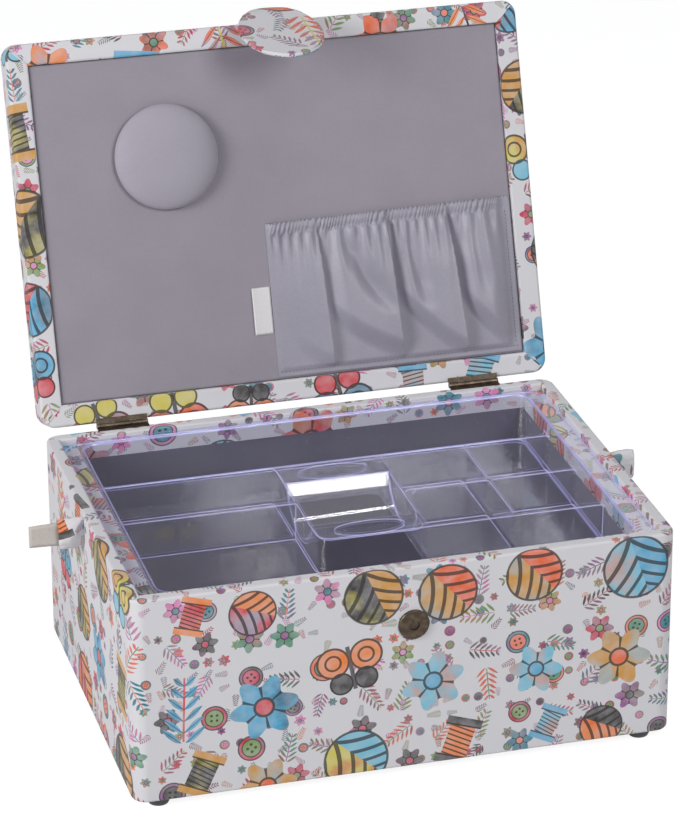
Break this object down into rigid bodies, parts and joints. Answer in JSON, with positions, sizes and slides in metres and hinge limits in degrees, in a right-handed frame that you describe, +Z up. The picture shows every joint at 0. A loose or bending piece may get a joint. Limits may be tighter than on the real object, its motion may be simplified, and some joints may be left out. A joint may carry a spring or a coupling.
{
  "type": "sewing box",
  "caption": "Fabric-covered sewing box with a hinged lid, snap tab, pin cushion, gathered lid pocket and a clear lift-out tray with compartments.",
  "frame": {"origin": "on the floor under the middle of the box, at the level of the feet", "axes": "+Z up, -Y out of the front with the snap, +X to the right as seen from the front"},
  "size_m": [0.3735, 0.3356, 0.3661],
  "materials": {
    "printed_fabric": "matte printed cloth",
    "plain_lining": "matte lining cloth",
    "satin_lining": "satin",
    "cushion_cloth": "matte padded cloth",
    "strap_cloth": "matte webbing",
    "board": "matte grey board",
    "clear_plastic": "clear gloss",
    "bronze_metal": "dark antique bronze",
    "rubber": "matte"
  },
  "bodies": {
    "box": {"back_board": "board", "back_lining": "plain_lining", "base_board": "board", "bottom_panel": "plain_lining", "box_cover": "printed_fabric", "floor_lining": "plain_lining", "front_board": "board", "front_left_foot": "rubber", "front_lining": "plain_lining", "front_right_foot": "rubber", "left_bearer": "board", "left_board": "board", "left_box_leaf": "bronze_metal", "left_hinge_pin": "bronze_metal", "left_ledge_cover": "printed_fabric", "left_lining": "plain_lining", "left_strap": "strap_cloth", "left_strap_keeper": "printed_fabric", "rear_left_foot": "rubber", "rear_right_foot": "rubber", "right_bearer": "board", "right_board": "board", "right_box_leaf": "bronze_metal", "right_hinge_pin": "bronze_metal", "right_ledge_cover": "printed_fabric", "right_lining": "plain_lining", "right_strap": "strap_cloth", "right_strap_keeper": "printed_fabric", "snap_backing": "bronze_metal", "snap_base": "bronze_metal"},
    "lid": {"lid_board": "board", "lid_front_rail": "board", "lid_back_rail": "board", "lid_left_rail": "board", "lid_right_rail": "board", "lid_cover": "printed_fabric", "lid_lining": "plain_lining", "pin_cushion": "cushion_cloth", "pocket": "satin_lining", "pocket_hem": "satin_lining", "tag": "satin_lining", "tab_root": "printed_fabric", "left_lid_leaf": "bronze_metal", "right_lid_leaf": "bronze_metal"},
    "tab": {"tab_flap": "printed_fabric", "tab_snap": "bronze_metal"},
    "tray": {"tray": "clear_plastic"}
  },
  "joints": [
    {"name": "lid_hinge", "type": "hinge", "parent": "box", "child": "lid", "pos_m": [0, 0.1194, 0.1367], "axis": [-1, 0, 0], "range_deg": [-109, 0]},
    {"name": "tab_hinge", "type": "hinge", "parent": "lid", "child": "tab", "pos_m": [0.0035, 0.19919, 0.36475], "axis": [-1, 0, 0], "range_deg": [0, 27.1]},
    {"name": "tray_lift", "type": "slide", "parent": "box", "child": "tray", "axis": [0, 0, 1], "range_m": [0, 0.075]}
  ],
  "couplings": [
    {"joint": "tab_hinge", "follows": "lid_hinge", "ratio": -0.24771}
  ]
}
